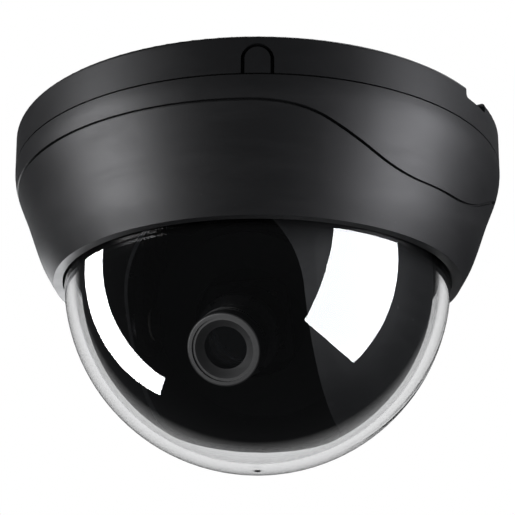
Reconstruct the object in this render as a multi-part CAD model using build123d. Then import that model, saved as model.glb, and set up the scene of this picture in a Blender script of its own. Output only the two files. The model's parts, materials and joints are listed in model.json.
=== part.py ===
from build123d import *
import math
import os

# Dome camera, hung from a ceiling.  Millimetres.
# Row frame: origin at the centre of the ceiling face, +Z up into the ceiling, so the
# camera hangs into -Z.  The cable knockout faces -Y.
# Azimuths are degrees about +Z, counted from -Y towards +X.

# ---------------------------------------------------------------- overall sizes
base_radius = 49.9            # ceiling edge of the base
base_height = 7.35            # ceiling face to the parting line
base_draft = 0.2              # how much the base narrows down to the parting line
cover_height = 22.6           # parting line to the lip
bubble_radius = 38.8          # outside of the clear bubble
lip_width = 1.8               # flat lip of the cover around the bubble
bubble_sink = 1.85            # bubble centre above the lip

# ---------------------------------------------------------------- clearances
body_gap = 0.3                # between bodies that pass each other
axial_gap = 0.15              # between a turning piece and what keeps it in place
running_gap = 0.05            # radial gap of a turning or sliding fit
seat_gap = 0.3                # round the bubble in the cover's lip
screw_gap = 0.1               # radial gap of a clearance hole

# ---------------------------------------------------------------- base
base_floor = 2.5
base_wall = 2.2
rim_round = 0.8
seam_round = 0.25
lug_depth = 1.4               # bayonet lugs standing out of the spigot
lug_height = 1.5
lug_arc = 12.0
lug_drop = 1.9                # parting line to the top of a lug
spigot_wall = 1.4
spigot_end = 1.0              # spigot below its lugs
lug_azimuths = (20.0, 140.0, 260.0)
hub_outer = 9.5               # pan bearing and cable way in one
hub_inner = 7.0
hub_end = 0.6                 # hub below the bracket's plate
seat_inner = 24.0             # raised seat under the friction ring
seat_outer = 31.0
seat_height = 0.5
mount_azimuths = (90.0, 210.0, 330.0)
mount_hole_radius = 2.25
mount_inset = 4.2             # screw centre inside the spigot's inner wall
knockout_width = 5.8
knockout_crown = 1.7          # crown below the ceiling edge
knockout_groove = 0.65
knockout_web = 0.5
cable_gap_width = 9.0         # gap in the spigot behind the knockout
notch_azimuth = 56.8
notch_width = 8.4
notch_depth = 2.3

# ---------------------------------------------------------------- pan turntable
friction_thickness = 0.6
turntable_radius = 34.0
turntable_thickness = 2.6
stop_reach = 2.0              # stop tab beyond the turntable's rim
stop_width = 4.0
clamp_azimuths = (30.0, 150.0, 270.0)
clamp_thickness = 1.5
clamp_overlap = 2.5           # clamp over the turntable's rim
clamp_width = 9.0
clamp_post_radius = 3.0
post_reach = 5.4              # post centre beyond the turntable's rim
pan_rest = -15.5              # azimuth that the lens faces in the rest pose

# ---------------------------------------------------------------- screws
small_thread = 0.8            # core radius of the small self-tapping screws
small_head = 1.45
small_head_height = 1.0
thread_radius = 1.0           # M2 machine screws
head_radius = 1.9
head_height = 1.3
tilt_thread = 1.5             # M3 pivots of the tilting frame
tilt_head = 2.75
tilt_head_height = 2.0
recess_share = 0.55           # cross recess depth over the head's height
recess_width_share = 0.28     # cross recess bar width over the head's radius
recess_reach_share = 0.68     # cross recess arm over the head's radius
screw_bite = 3.0              # thread length in plastic

# ---------------------------------------------------------------- cover
cover_wall = 1.8
ledge_height = 3.25           # solid ring that carries the bubble, up from the lip
rib_height = 1.5              # bayonet ribs under the base's lugs
rib_arc = 16.0
rib_gap = 0.2                 # between lug and rib, and lug and stop
stop_arc = 1.6
groove_width = 0.5
groove_depth = 0.65
groove_high = 12.0            # level part of the styling groove, below the ceiling
groove_low = 21.25            # bottom of its two dips
groove_flat = 4.5             # half the level length of a dip
groove_run = 33.0             # sideways run of each rise
groove_slope = 24.0           # degrees, between the two bends of a rise
groove_azimuth = 47.5         # where one dip is centred, the other being opposite

# ---------------------------------------------------------------- bubble and its ring
bubble_wall = 2.2
flange_thickness = 1.5
flange_reach = 1.9            # flange beyond the bubble
gasket_thickness = 0.4
ring_thickness = 1.2
ring_inset = 0.9              # ring's bore inside the bubble's outside
ring_screws = (10.0, 130.0, 250.0)
ring_screw_reach = 1.35       # screw centre beyond the bubble
ring_screw_thread = 0.6
ring_screw_bite = 1.7

# ---------------------------------------------------------------- shroud
shroud_gap = 1.2              # between the bubble's inside and the shroud
shroud_wall = 1.2
shroud_rim = 7.4              # straight rim above the sphere's middle
slot_half_width = 16.4
slot_crown_drop = 12.0        # centre of the slot's round top, below the sphere's middle
slot_tail = -4.0              # centre of the slot's round rear end
ear_width = 9.0
ear_thickness = 2.0
ear_overlap = 4.6             # ear under the bracket's lug

# ---------------------------------------------------------------- tilt bracket
bracket_sheet = 1.5
bracket_width = 24.0
arm_foot_width = 13.0
lug_reach = 6.8               # bent-out lug beyond the arm
lug_width = 8.0
bracket_screw_x = 15.0
bracket_screw_y = 8.0
tilt_drop = 7.25              # tilt axis below the bubble's centre
tilt_rest = 30.0              # degrees below the horizon that the lens faces at rest

# ---------------------------------------------------------------- tilt frame and carrier
# Module frame: origin on the tilt axis, Z forward along the lens, X along the tilt axis.
carrier_radius = 18.0
carrier_wall = 1.4
carrier_flange = 1.3
carrier_plate = 1.5
flange_plate = 1.15
frame_wall = 2.6
frame_half = 2.0
trunnion_radius = 3.5
trunnion_reach = 1.05         # trunnion face beyond the frame ring
spacer_thickness = 0.5
spacer_radius = 3.3
washer_thickness = 0.5
washer_radius = 3.2
retainer_thickness = 1.0
retainer_wall = 3.1
retainer_post_inset = 2.8     # post centre inside the carrier's outside
retainer_post_radius = 1.8

# ---------------------------------------------------------------- boards
board_size = 24.0
board_corner = 1.5
board_thickness = 1.2
board_front = 3.6             # front face of the sensor board
board_screw_place = 9.5
board_boss_radius = 1.8
board_boss_height = 1.2
standoff_length = 6.0
standoff_flats = 3.6
sensor_size = 11.0
sensor_thickness = 1.5
sensor_window_size = 7.4
sensor_window_thickness = 0.4

# ---------------------------------------------------------------- lens
lens_front = 26.2             # front of the barrel
stem_radius = 6.0             # M12 thread
stem_back = 10.0
barrel_head_radius = 6.8
barrel_head_length = 6.0
barrel_bore = 4.6
front_glass_radius = 5.2
front_glass_recess = 1.9      # glass rim behind the barrel's front
front_glass_thickness = 2.2
front_glass_crown = 0.9
rear_glass_radius = 4.2
rear_glass_thickness = 3.0
rear_glass_crown = 0.6
glass_gap = 0.03
lens_ring_outer = 5.9
lens_ring_inner = 3.9
lens_ring_recess = 0.35
holder_size = 16.0
holder_corner = 2.5
holder_base = 2.4
holder_tube = 7.3
holder_length = 10.9
holder_cavity = 12.5
holder_hole_gap = 0.7
filter_size = 8.0
filter_thickness = 0.55
filter_ledge = 4.0            # light opening radius in the holder
lock_ring_radius = 7.9
lock_ring_length = 2.0
lock_ring_notches = 6

# ---------------------------------------------------------------- worked-out places
cover_top_z = -(base_height + body_gap)
cover_top_radius = base_radius - base_draft
lip_z = cover_top_z - cover_height
lip_radius = bubble_radius + lip_width + seat_gap
bubble_z = lip_z + bubble_sink
ledge_z = lip_z + ledge_height
opening_radius = bubble_radius + seat_gap
flange_radius = bubble_radius + flange_reach
gasket_z = ledge_z + gasket_thickness
flange_z = gasket_z + flange_thickness
ring_z = flange_z + ring_thickness

floor_z = -base_floor
lug_top_z = -(base_height + lug_drop)
lug_low_z = lug_top_z - lug_height
spigot_z = lug_low_z - spigot_end

seat_z = floor_z - seat_height
friction_z = seat_z - friction_thickness
turntable_top_z = friction_z - axial_gap
turntable_low_z = turntable_top_z - turntable_thickness
post_z = turntable_low_z - axial_gap
clamp_z = post_z - clamp_thickness
bracket_z = turntable_low_z - bracket_sheet
hub_z = bracket_z - hub_end
post_place = turntable_radius + post_reach

tilt_z = bubble_z - tilt_drop
frame_inner = carrier_radius + running_gap
frame_outer = frame_inner + frame_wall
trunnion_x = frame_outer + trunnion_reach
spacer_x = trunnion_x + spacer_thickness
arm_inner_x = spacer_x + axial_gap
arm_outer_x = arm_inner_x + bracket_sheet
washer_x = arm_outer_x + axial_gap
tilt_head_x = washer_x + washer_thickness
lug_end_x = arm_outer_x + lug_reach

shroud_outer = bubble_radius - bubble_wall - shroud_gap
shroud_inner = shroud_outer - shroud_wall
shroud_top_z = bubble_z + shroud_rim
lug_z = shroud_top_z + bracket_sheet
ear_z = shroud_top_z - ear_thickness
ear_screw_x = arm_outer_x + lug_reach - ear_overlap / 2.0

board_back = board_front - board_thickness
carrier_plate_back = board_front + board_boss_height
carrier_front = carrier_plate_back + carrier_plate
carrier_back = -(frame_half + axial_gap)
retainer_back = carrier_back - retainer_thickness
power_front = board_back - standoff_length
power_back = power_front - board_thickness
pocket_radius = carrier_radius - carrier_wall
flange_rim = carrier_radius + carrier_flange
retainer_post_place = carrier_radius - retainer_post_inset
holder_front = board_front + holder_length
barrel_head_back = lens_front - barrel_head_length

C = Align.CENTER
LOW = (Align.CENTER, Align.CENTER, Align.MIN)
eps = 0.02                    # overshoot of cutting tools past a face


# ---------------------------------------------------------------- helpers
def polar(radius, azimuth, z=0.0):
    """Place at a radius and azimuth, with local -Y pointing outwards."""
    return Rot(0, 0, azimuth) * Pos(0, -radius, z)


def disc(radius, low, high):
    """Solid cylinder between two heights."""
    return Pos(0, 0, low) * Cylinder(radius, high - low, align=LOW)


def tube(outer, inner, low, high):
    """Ring with a plain bore between two heights."""
    return disc(outer, low, high) - disc(inner, low - eps, high + eps)


def block(x_size, y_size, low, high):
    """Box centred in plan between two heights."""
    return Pos(0, 0, low) * Box(x_size, y_size, high - low, align=LOW)


def sector(outer, inner, low, high, azimuth, arc):
    """Part of a ring, centred on an azimuth."""
    half = math.radians(arc / 2.0)
    far = outer * 2.0
    wedge = Polyline((0, 0), (far * math.sin(half), -far * math.cos(half)),
                     (-far * math.sin(half), -far * math.cos(half)), close=True)
    prism = Pos(0, 0, low) * extrude(make_face(wedge), amount=high - low)
    return tube(outer, inner, low, high) & Rot(0, 0, azimuth) * prism


def dome_cup(outer, inner, top):
    """Hemispherical cup round the bubble's centre, with a straight rim up to top."""
    section = [
        Line((outer, top), (outer, bubble_z)),
        CenterArc((0, bubble_z), outer, 0, -90),
        Line((0, bubble_z - outer), (0, bubble_z - inner)),
        CenterArc((0, bubble_z), inner, -90, 90),
        Line((inner, bubble_z), (inner, top)),
        Line((inner, top), (outer, top)),
    ]
    return revolve(Plane.XZ * make_face(section), Axis.Z)


def cross_recess(head, height):
    """Cutting tool for a cross recess, sunk from z = height."""
    depth = height * recess_share
    bar_width = head * recess_width_share
    bar_length = 2.0 * head * recess_reach_share
    bar = Pos(0, 0, height - depth) * Box(bar_length, bar_width, depth + eps, align=LOW)
    return bar + Rot(0, 0, 90) * bar


def screw(thread, length, head, height):
    """Pan-head screw: head on z > 0, shank into z < 0."""
    top = fillet(Cylinder(head, height, align=LOW).edges().sort_by(Axis.Z)[-1], height * 0.45)
    shank = Pos(0, 0, -length) * Cylinder(thread, length, align=LOW)
    shank = chamfer(shank.edges().sort_by(Axis.Z)[0], thread * 0.3)
    return top + shank - cross_recess(head, height)


def group(shapes):
    """Several separate solids in one piece."""
    return Compound(children=list(shapes))


def pan_place():
    """Pan body's frame: the lens faces its -Y."""
    return Rot(0, 0, pan_rest)


def module_place():
    """Camera module's frame: Z forward along the lens."""
    return pan_place() * Pos(0, 0, tilt_z) * Rot(90.0 + tilt_rest, 0, 0)


# ---------------------------------------------------------------- base body
def cover_curve(inset):
    """Side line of the cover from the parting line to the lip, moved in by inset."""
    flare = cover_top_radius - lip_radius
    steps = ((0.0, 0.0), (0.195, 0.085), (0.39, 0.29), (0.79, 0.69), (1.0, 1.0))
    points = [(cover_top_radius - flare * out - inset, cover_top_z - cover_height * down)
              for down, out in steps]
    return Spline(*points, tangents=((0, -1), (-0.62, -1)))


def base_plate():
    """Ceiling plate with its wall, spigot, bayonet lugs, hub and posts."""
    wall_low = -base_height
    wall_low_radius = base_radius - base_draft
    outline = Polyline((0, 0), (base_radius, 0), (wall_low_radius, wall_low),
                       (wall_low_radius - base_wall, wall_low),
                       (base_radius - base_wall, floor_z), (0, floor_z), close=True)
    plate = revolve(Plane.XZ * make_face(outline), Axis.Z)
    plate = fillet(plate.edges().filter_by(GeomType.CIRCLE).sort_by(SortBy.RADIUS)[-1:], rim_round)
    plate += tube(spigot_outer(), spigot_outer() - spigot_wall, spigot_z, floor_z)
    for azimuth in lug_azimuths:
        plate += sector(spigot_outer() + lug_depth, spigot_outer() - spigot_wall / 2.0,
                        lug_low_z, lug_top_z, azimuth, lug_arc)
    plate += tube(seat_outer, seat_inner, seat_z, floor_z)
    plate += disc(hub_outer, hub_z, floor_z)
    for azimuth in clamp_azimuths:
        plate += polar(post_place, azimuth) * disc(clamp_post_radius, post_z, floor_z)
    plate += pan_stop()
    plate -= disc(hub_inner, hub_z - eps, eps)
    for azimuth in clamp_azimuths:
        plate -= polar(post_place, azimuth) * disc(small_thread, clamp_z + clamp_thickness, floor_z)
    for azimuth in mount_azimuths:
        plate -= polar(mount_place(), azimuth) * disc(mount_hole_radius, floor_z - seat_height, eps)
    plate -= knockout_hole()
    plate -= cable_gap()
    plate -= pry_notch()
    return plate


def spigot_outer():
    """Outside of the spigot that the cover's ribs pass."""
    return cover_top_radius - cover_wall - body_gap - lug_depth - lug_inset()


def lug_inset():
    """Extra room at lug level, where the cover has begun to narrow."""
    return 0.6


def mount_place():
    """Radius of the ceiling screws."""
    return spigot_outer() - spigot_wall - mount_inset


def pan_stop():
    """Post behind the turntable that ends the pan."""
    inner = turntable_radius + body_gap
    outer = turntable_radius + stop_reach + body_gap
    return polar((inner + outer) / 2.0, 180.0) * block(stop_width, outer - inner, turntable_low_z, floor_z)


def arch(width, crown, low, depth):
    """Arch-shaped prism through the side wall at azimuth 0, open at the bottom."""
    radius = width / 2.0
    centre_z = -(crown + radius)
    prism = Pos(0, 0, low) * Box(width, depth, centre_z - low, align=LOW)
    prism += Pos(0, 0, centre_z) * Rot(90, 0, 0) * Cylinder(radius, depth)
    return Pos(0, -base_radius, 0) * prism


def side_wall(inner_share=1.0):
    """Ring of the base's side wall, or its innermost share."""
    low = -base_height
    inner = base_radius - base_wall
    outer_top = inner + base_wall * inner_share
    outer_low = outer_top - base_draft * inner_share
    outline = Polyline((inner - base_draft, low), (outer_low, low), (outer_top, 0),
                       (inner, 0), close=True)
    return revolve(Plane.XZ * make_face(outline), Axis.Z)


def knockout_hole():
    """Hole that the knockout fills."""
    return arch(knockout_width, knockout_crown, -base_height - eps, 4.0 * base_wall) & side_wall()


def cable_knockout():
    """Break-out tab: a full-thickness arch on a thin web that fills the hole."""
    crown = knockout_crown + knockout_groove
    tab = arch(knockout_width - 2.0 * knockout_groove, crown, -base_height, 4.0 * base_wall)
    web = arch(knockout_width, knockout_crown, -base_height, 4.0 * base_wall)
    return (tab & side_wall()) + (web & side_wall(knockout_web / base_wall))


def cable_gap():
    """Gap in the spigot where a side cable comes in."""
    outer = base_radius - base_wall - base_draft
    inner = spigot_outer() - 2.0 * spigot_wall
    return polar((outer + inner) / 2.0, 0.0) * block(cable_gap_width, outer - inner, spigot_z - eps, floor_z)


def pry_notch():
    """Small notch in the ceiling edge for a screwdriver."""
    cut = block(notch_width, 4.0 * base_wall, -notch_depth, eps)
    cut = fillet(cut.edges().filter_by(Axis.Y).sort_by(Axis.Z)[:2], notch_depth * 0.3)
    inner = base_radius - base_wall
    return polar(base_radius, notch_azimuth) * cut - disc(inner, -notch_depth - eps, 2.0 * eps)


def pan_clamps():
    """Three plates over the turntable's rim."""
    inner = turntable_radius - clamp_overlap
    outer = post_place + clamp_post_radius
    length = outer - inner
    plate = block(clamp_width, length, clamp_z, post_z)
    plate = fillet(plate.edges().filter_by(Axis.Z), clamp_width / 4.0)
    hole_y = (outer + inner) / 2.0 - post_place
    plate -= Pos(0, hole_y, 0) * disc(small_thread + screw_gap, clamp_z - eps, post_z + eps)
    return group(polar((outer + inner) / 2.0, azimuth) * plate for azimuth in clamp_azimuths)


def pan_clamp_screws():
    """Screws of the clamps, up into the base's posts."""
    part = Rot(180, 0, 0) * screw(small_thread, clamp_thickness + screw_bite, small_head, small_head_height)
    return group(polar(post_place, azimuth, clamp_z) * part for azimuth in clamp_azimuths)


def pan_friction_ring():
    """Slip ring between the base's seat and the turntable."""
    return tube(seat_outer, seat_inner, friction_z, seat_z)


# ---------------------------------------------------------------- pan body
def pan_turntable():
    """Disc that turns on the base's hub, with its stop tab."""
    disc_ring = tube(turntable_radius, hub_outer + running_gap, turntable_low_z, turntable_top_z)
    reach = turntable_radius + stop_reach
    tab = Pos(0, -(reach - stop_reach), 0) * block(stop_width, 2.0 * stop_reach,
                                                   turntable_low_z, turntable_top_z)
    disc_ring += tab
    for place in bracket_screw_places():
        disc_ring -= place * disc(thread_radius, turntable_low_z - eps, turntable_top_z + eps)
    return pan_place() * disc_ring


def bracket_screw_places():
    """Four screw places of the bracket's plate."""
    return [Pos(sx * bracket_screw_x, sy * bracket_screw_y, 0) for sx in (-1, 1) for sy in (-1, 1)]


def tilt_bracket():
    """U-shaped sheet bracket with round feet and two bent-out lugs."""
    plate = block(2.0 * arm_outer_x, bracket_width, bracket_z, turntable_low_z)
    arm = arm_blank()
    plate += Pos(arm_inner_x, 0, 0) * arm
    plate += Pos(-arm_outer_x, 0, 0) * arm
    outer_edges = plate.edges().filter_by(Axis.Y).group_by(Axis.Z)[-1]
    plate = fillet(outer_edges, bracket_sheet * 0.8)
    for side in (-1, 1):
        lug = Pos(side * (arm_outer_x + lug_reach / 2.0), 0, 0) * block(
            lug_reach + bracket_sheet, lug_width, shroud_top_z, lug_z)
        plate += lug
        plate -= Pos(side * ear_screw_x, 0, 0) * disc(thread_radius, shroud_top_z - eps, lug_z + eps)
    plate -= disc(hub_outer + 2.0 * body_gap, bracket_z - eps, turntable_low_z + eps)
    for place in bracket_screw_places():
        plate -= place * disc(thread_radius + screw_gap, bracket_z - eps, turntable_low_z + eps)
    return pan_place() * plate


def arm_blank():
    """One arm in the YZ plane, one sheet thick towards +X."""
    foot = arm_foot_width / 2.0
    top = bracket_width / 2.0
    outline = Polyline((-top, turntable_low_z), (top, turntable_low_z), (foot, lug_z + lug_width),
                       (foot, tilt_z), (-foot, tilt_z), (-foot, lug_z + lug_width), close=True)
    arm = extrude(Plane.YZ * make_face(outline), amount=bracket_sheet)
    arm += Pos(bracket_sheet / 2.0, 0, tilt_z) * Rot(0, 90, 0) * Cylinder(foot, bracket_sheet)
    window = Pos(bracket_sheet / 2.0, 0, lug_z) * Box(2.0 * bracket_sheet, lug_width, lug_reach, align=LOW)
    hole = Pos(0, 0, tilt_z) * Rot(0, 90, 0) * Cylinder(tilt_thread + running_gap, 4.0 * bracket_sheet)
    return arm - window - hole


def bracket_screws():
    """Screws of the bracket, up into the turntable."""
    length = bracket_sheet + turntable_thickness - axial_gap
    part = Rot(180, 0, 0) * screw(thread_radius, length, head_radius, head_height)
    return pan_place() * group(place * Pos(0, 0, bracket_z) * part for place in bracket_screw_places())


def lens_shroud():
    """Black inner dome with the slot that the lens looks through."""
    shell = dome_cup(shroud_outer, shroud_inner, shroud_top_z) - shroud_slot()
    shell += shroud_ears()
    for side in (-1, 1):
        shell -= Pos(side * ear_screw_x, 0, 0) * disc(thread_radius + screw_gap, ear_z - eps, shroud_top_z + eps)
    return pan_place() * shell


def shroud_slot():
    """Cutting tool of the slot: round top in front, round end behind."""
    crown_z = bubble_z - slot_crown_drop
    low_z = bubble_z - 1.5 * shroud_outer
    depth = 1.5 * shroud_outer
    front = Pos(0, slot_tail - depth / 2.0, low_z) * Box(2.0 * slot_half_width, depth, crown_z - low_z, align=LOW)
    front += Pos(0, slot_tail - depth / 2.0, crown_z) * Rot(90, 0, 0) * Cylinder(slot_half_width, depth)
    rear = Pos(0, slot_tail, 0) * disc(slot_half_width, low_z, bubble_z - slot_half_width)
    return front + rear


def shroud_ears():
    """Two ears inside the rim that meet the bracket's lugs."""
    inner = lug_end_x - ear_overlap
    outer = shroud_outer - shroud_wall / 2.0
    ear = block(outer - inner, ear_width, ear_z, shroud_top_z)
    rim = disc(shroud_outer - shroud_wall / 2.0, ear_z, shroud_top_z)
    return (Pos((outer + inner) / 2.0, 0, 0) * ear & rim) + (Pos(-(outer + inner) / 2.0, 0, 0) * ear & rim)


def shroud_screws():
    """Screws through the shroud's ears into the bracket's lugs."""
    length = ear_thickness + bracket_sheet
    part = Rot(180, 0, 0) * screw(thread_radius, length, head_radius, head_height)
    return pan_place() * group(Pos(side * ear_screw_x, 0, ear_z) * part for side in (-1, 1))


# ---------------------------------------------------------------- tilt body
def sideways(side):
    """Place with local Z along the tilt axis, outwards on one side."""
    return Rot(0, 90 * side, 0)


def tilt_frame():
    """Ring that holds the carrier, with a threaded trunnion on each side."""
    ring = tube(frame_outer, frame_inner, -frame_half, frame_half)
    root_x = flange_rim + body_gap
    for side in (-1, 1):
        ring += sideways(side) * disc(trunnion_radius, root_x, trunnion_x)
    for side in (-1, 1):
        ring -= sideways(side) * disc(tilt_thread, frame_inner + running_gap, trunnion_x + eps)
    return module_place() * ring


def tilt_spacers():
    """Slip washers between the trunnions and the arms."""
    part = tube(spacer_radius, tilt_thread, trunnion_x, spacer_x)
    return module_place() * group(sideways(side) * part for side in (-1, 1))


def tilt_washers():
    """Washers under the tilt screws' heads."""
    part = tube(washer_radius, tilt_thread, washer_x, tilt_head_x)
    return module_place() * group(sideways(side) * part for side in (-1, 1))


def tilt_screws():
    """Pivot screws of the tilting frame."""
    length = tilt_head_x - frame_inner - 2.0 * running_gap
    part = screw(tilt_thread, length, tilt_head, tilt_head_height)
    return module_place() * group(sideways(side) * Pos(0, 0, tilt_head_x) * part for side in (-1, 1))


# ---------------------------------------------------------------- camera body
def board_places(z=0.0):
    """Four corner screw places of the boards."""
    place = board_screw_place
    return [Pos(sx * place, sy * place, z) for sx in (-1, 1) for sy in (-1, 1)]


def post_places(z=0.0):
    """Four places of the retainer's posts."""
    return [Rot(0, 0, 90 * k) * Pos(retainer_post_place, 0, z) for k in range(4)]


def module_carrier():
    """Cup that turns in the tilt frame and carries the boards."""
    cup = tube(carrier_radius, pocket_radius, carrier_back, carrier_front)
    cup += tube(flange_rim, pocket_radius, frame_half + axial_gap, frame_half + axial_gap + flange_plate)
    cup += disc(pocket_radius + carrier_wall / 2.0, carrier_plate_back, carrier_front)
    for place in board_places():
        cup += place * disc(board_boss_radius, board_front, carrier_front)
    for place in post_places():
        cup += place * disc(retainer_post_radius, carrier_back, carrier_front)
    cup -= disc(holder_hole_radius(), carrier_plate_back - eps, carrier_front + eps)
    for place in board_places():
        cup -= place * disc(thread_radius, board_front - eps, board_front + board_boss_height + axial_gap)
    for place in post_places():
        cup -= place * disc(small_thread, carrier_back - eps, carrier_back + screw_bite)
    return module_place() * cup


def holder_hole_radius():
    """Hole in the carrier's plate, clear of the lens holder's corners."""
    return (holder_size / 2.0 - holder_corner) * math.sqrt(2.0) + holder_corner + holder_hole_gap


def carrier_retainer():
    """Ring behind the tilt frame that keeps the carrier in it."""
    inner = flange_rim - retainer_wall
    ring = tube(flange_rim, inner, retainer_back, carrier_back)
    for place in post_places():
        ring += place * disc(retainer_post_radius, retainer_back, carrier_back)
    for place in post_places():
        ring -= place * disc(small_thread + screw_gap, retainer_back - eps, carrier_back + eps)
    return module_place() * ring


def retainer_screws():
    """Screws of the retainer, into the carrier's posts."""
    part = Rot(180, 0, 0) * screw(small_thread, retainer_thickness + screw_bite, small_head, small_head_height)
    return module_place() * group(place * part for place in post_places(retainer_back))


def board_blank(back):
    """Square board with cut corners and four holes."""
    plate = block(board_size, board_size, back, back + board_thickness)
    plate = chamfer(plate.edges().filter_by(Axis.Z), board_corner)
    for place in board_places():
        plate -= place * disc(thread_radius, back - eps, back + board_thickness + eps)
    return plate


def sensor_board():
    """Front board with the image sensor."""
    return module_place() * board_blank(board_back)


def power_board():
    """Rear board with the supply and the video output."""
    return module_place() * board_blank(power_back)


def board_standoffs():
    """Hexagonal posts between the boards, with studs into the carrier."""
    stud_top = board_front + board_boss_height
    hexagon = RegularPolygon(standoff_flats / 2.0, 6, major_radius=False)
    post = Pos(0, 0, power_front) * extrude(hexagon, amount=standoff_length)
    post += disc(thread_radius, board_back, stud_top)
    post -= disc(thread_radius, power_front - eps, power_front + standoff_length / 2.0)
    return module_place() * group(place * post for place in board_places())


def board_screws():
    """Screws of the rear board, into the posts."""
    length = board_thickness + standoff_length / 2.0 - axial_gap
    part = Rot(180, 0, 0) * screw(thread_radius, length, head_radius, head_height)
    return module_place() * group(place * part for place in board_places(power_back))


def image_sensor():
    """Sensor package on the front board."""
    body = block(sensor_size, sensor_size, board_front, board_front + sensor_thickness)
    body = chamfer(body.edges().filter_by(Axis.Z), sensor_thickness * 0.25)
    return module_place() * body


def sensor_window():
    """Cover glass of the image sensor."""
    low = board_front + sensor_thickness
    return module_place() * block(sensor_window_size, sensor_window_size * 0.8, low, low + sensor_window_thickness)


def lens_holder():
    """Square foot and tube that the lens screws into."""
    foot_top = board_front + holder_base
    foot = extrude(RectangleRounded(holder_size, holder_size, holder_corner), amount=holder_base)
    holder = Pos(0, 0, board_front) * foot + disc(holder_tube, foot_top - holder_base / 2.0, holder_front)
    holder -= block(holder_cavity, holder_cavity * 0.94, board_front - eps, foot_top)
    holder -= disc(filter_ledge, board_front, holder_front + eps)
    holder -= block(filter_size, filter_size, filter_low(), filter_low() + filter_thickness)
    holder -= disc(stem_radius + running_gap, filter_low() + filter_thickness, holder_front + eps)
    for side in (-1, 1):
        holder -= Pos(side * holder_screw_place(), 0, 0) * disc(small_thread, board_front - eps, foot_top - body_gap)
    return module_place() * holder


def holder_screw_place():
    """Screw place in the holder's foot, between its cavity and its edge."""
    return (holder_size + holder_cavity) / 4.0


def filter_low():
    """Back face of the infrared filter in the holder."""
    return board_front + holder_base + holder_base / 4.0


def infrared_filter():
    """Square filter glass behind the lens."""
    return module_place() * block(filter_size, filter_size, filter_low(), filter_low() + filter_thickness)


def lens_lock_ring():
    """Notched nut on the lens thread, against the holder."""
    ring = tube(lock_ring_radius, stem_radius + running_gap, holder_front, holder_front + lock_ring_length)
    notch_size = lock_ring_radius - holder_tube
    notch = Pos(lock_ring_radius, 0, 0) * block(2.0 * notch_size, 2.0 * notch_size,
                                                holder_front - eps, holder_front + lock_ring_length + eps)
    for k in range(lock_ring_notches):
        ring -= Rot(0, 0, 360.0 / lock_ring_notches * k) * notch
    return module_place() * ring


def board_link():
    """Plug and socket strip that joins the two boards."""
    length = board_size * 0.42
    strip = block(length, 2.4, power_front, board_back)
    return module_place() * Pos(0, -board_size * 0.32, 0) * strip


def video_processor():
    """Flat square chip on the rear board."""
    size = board_size * 0.29
    chip = block(size, size, power_front, power_front + 1.0)
    return module_place() * Pos(0, board_size * 0.06, 0) * chamfer(chip.faces().sort_by(Axis.Z)[-1].edges(), 0.15)


def filter_capacitors():
    """Two can capacitors on the rear board's back."""
    can = Pos(0, 0, power_back) * Rot(180, 0, 0) * Cylinder(2.0, 4.6, align=LOW)
    can = fillet(can.edges().sort_by(Axis.Z)[0], 0.4)
    foot = block(4.3, 4.3, power_back - 0.8, power_back)
    return module_place() * group(Pos(x, board_size * 0.2, 0) * (can + foot) for x in (-4.6, 1.4))


def supply_coil():
    """Shielded coil of the supply on the rear board's back."""
    coil = block(4.0, 4.0, power_back - 2.2, power_back)
    coil = fillet(coil.edges().filter_by(Axis.Z), 0.9)
    return module_place() * Pos(7.2, board_size * 0.19, 0) * coil


def power_socket():
    """Four-way socket for the camera's lead."""
    body = block(10.0, 4.6, power_back - 4.0, power_back)
    cavity = block(8.6, 3.2, power_back - 4.0 - eps, power_back - 1.0)
    slit = Pos(0, -2.3, 0) * block(3.4, 2.0, power_back - 4.0 - eps, power_back - 2.0)
    body = body - cavity - slit
    for k in range(4):
        body += Pos(-3.0 + 2.0 * k, 0, 0) * block(0.5, 0.5, power_back - 3.4, power_back - 0.9)
    return module_place() * Pos(0, -board_size * 0.22, 0) * body


# ---------------------------------------------------------------- lens bodies
def glass_element(radius, thickness, crown, back):
    """Round glass with a flat edge and a domed front."""
    bulge = (radius * radius + crown * crown) / (2.0 * crown)
    dome = Pos(0, 0, back + thickness + crown - bulge) * Sphere(bulge)
    return disc(radius, back, back + thickness + crown) & dome


def front_glass_back():
    """Back face of the front glass."""
    return lens_front - front_glass_recess - front_glass_thickness - front_glass_crown / 2.0


def lens_front_glass():
    """Front element of the lens."""
    return module_place() * glass_element(front_glass_radius, front_glass_thickness - front_glass_crown / 2.0,
                                          front_glass_crown, front_glass_back())


def rear_glass_back():
    """Back face of the rear glass."""
    return stem_back + 1.2


def lens_rear_glass():
    """Rear element of the lens."""
    return module_place() * glass_element(rear_glass_radius, rear_glass_thickness, rear_glass_crown, rear_glass_back())


def lens_barrel():
    """Threaded stem and ribbed head of the lens."""
    barrel = disc(stem_radius, stem_back, lens_front - barrel_head_length / 2.0)
    head = disc(barrel_head_radius, barrel_head_back, lens_front)
    head = fillet(head.edges().sort_by(Axis.Z)[-1], 0.35)
    barrel += chamfer(head.edges().sort_by(Axis.Z)[0], 0.4)
    seat = front_glass_back() - glass_gap
    barrel -= disc(front_glass_radius + glass_gap, seat, lens_front - front_glass_recess)
    barrel -= disc(lens_ring_outer, lens_front - front_glass_recess, lens_front + eps)
    barrel -= disc(barrel_bore, rear_glass_back() + rear_glass_thickness + 2.0 * rear_glass_crown, seat + eps)
    barrel -= disc(rear_glass_radius + glass_gap, stem_back - eps,
                   rear_glass_back() + rear_glass_thickness + 2.0 * rear_glass_crown)
    for z in (barrel_head_back + 1.6, barrel_head_back + 2.8):
        barrel -= tube(barrel_head_radius + 1.0, barrel_head_radius - 0.25, z, z + 0.5)
    return module_place() * barrel


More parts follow.
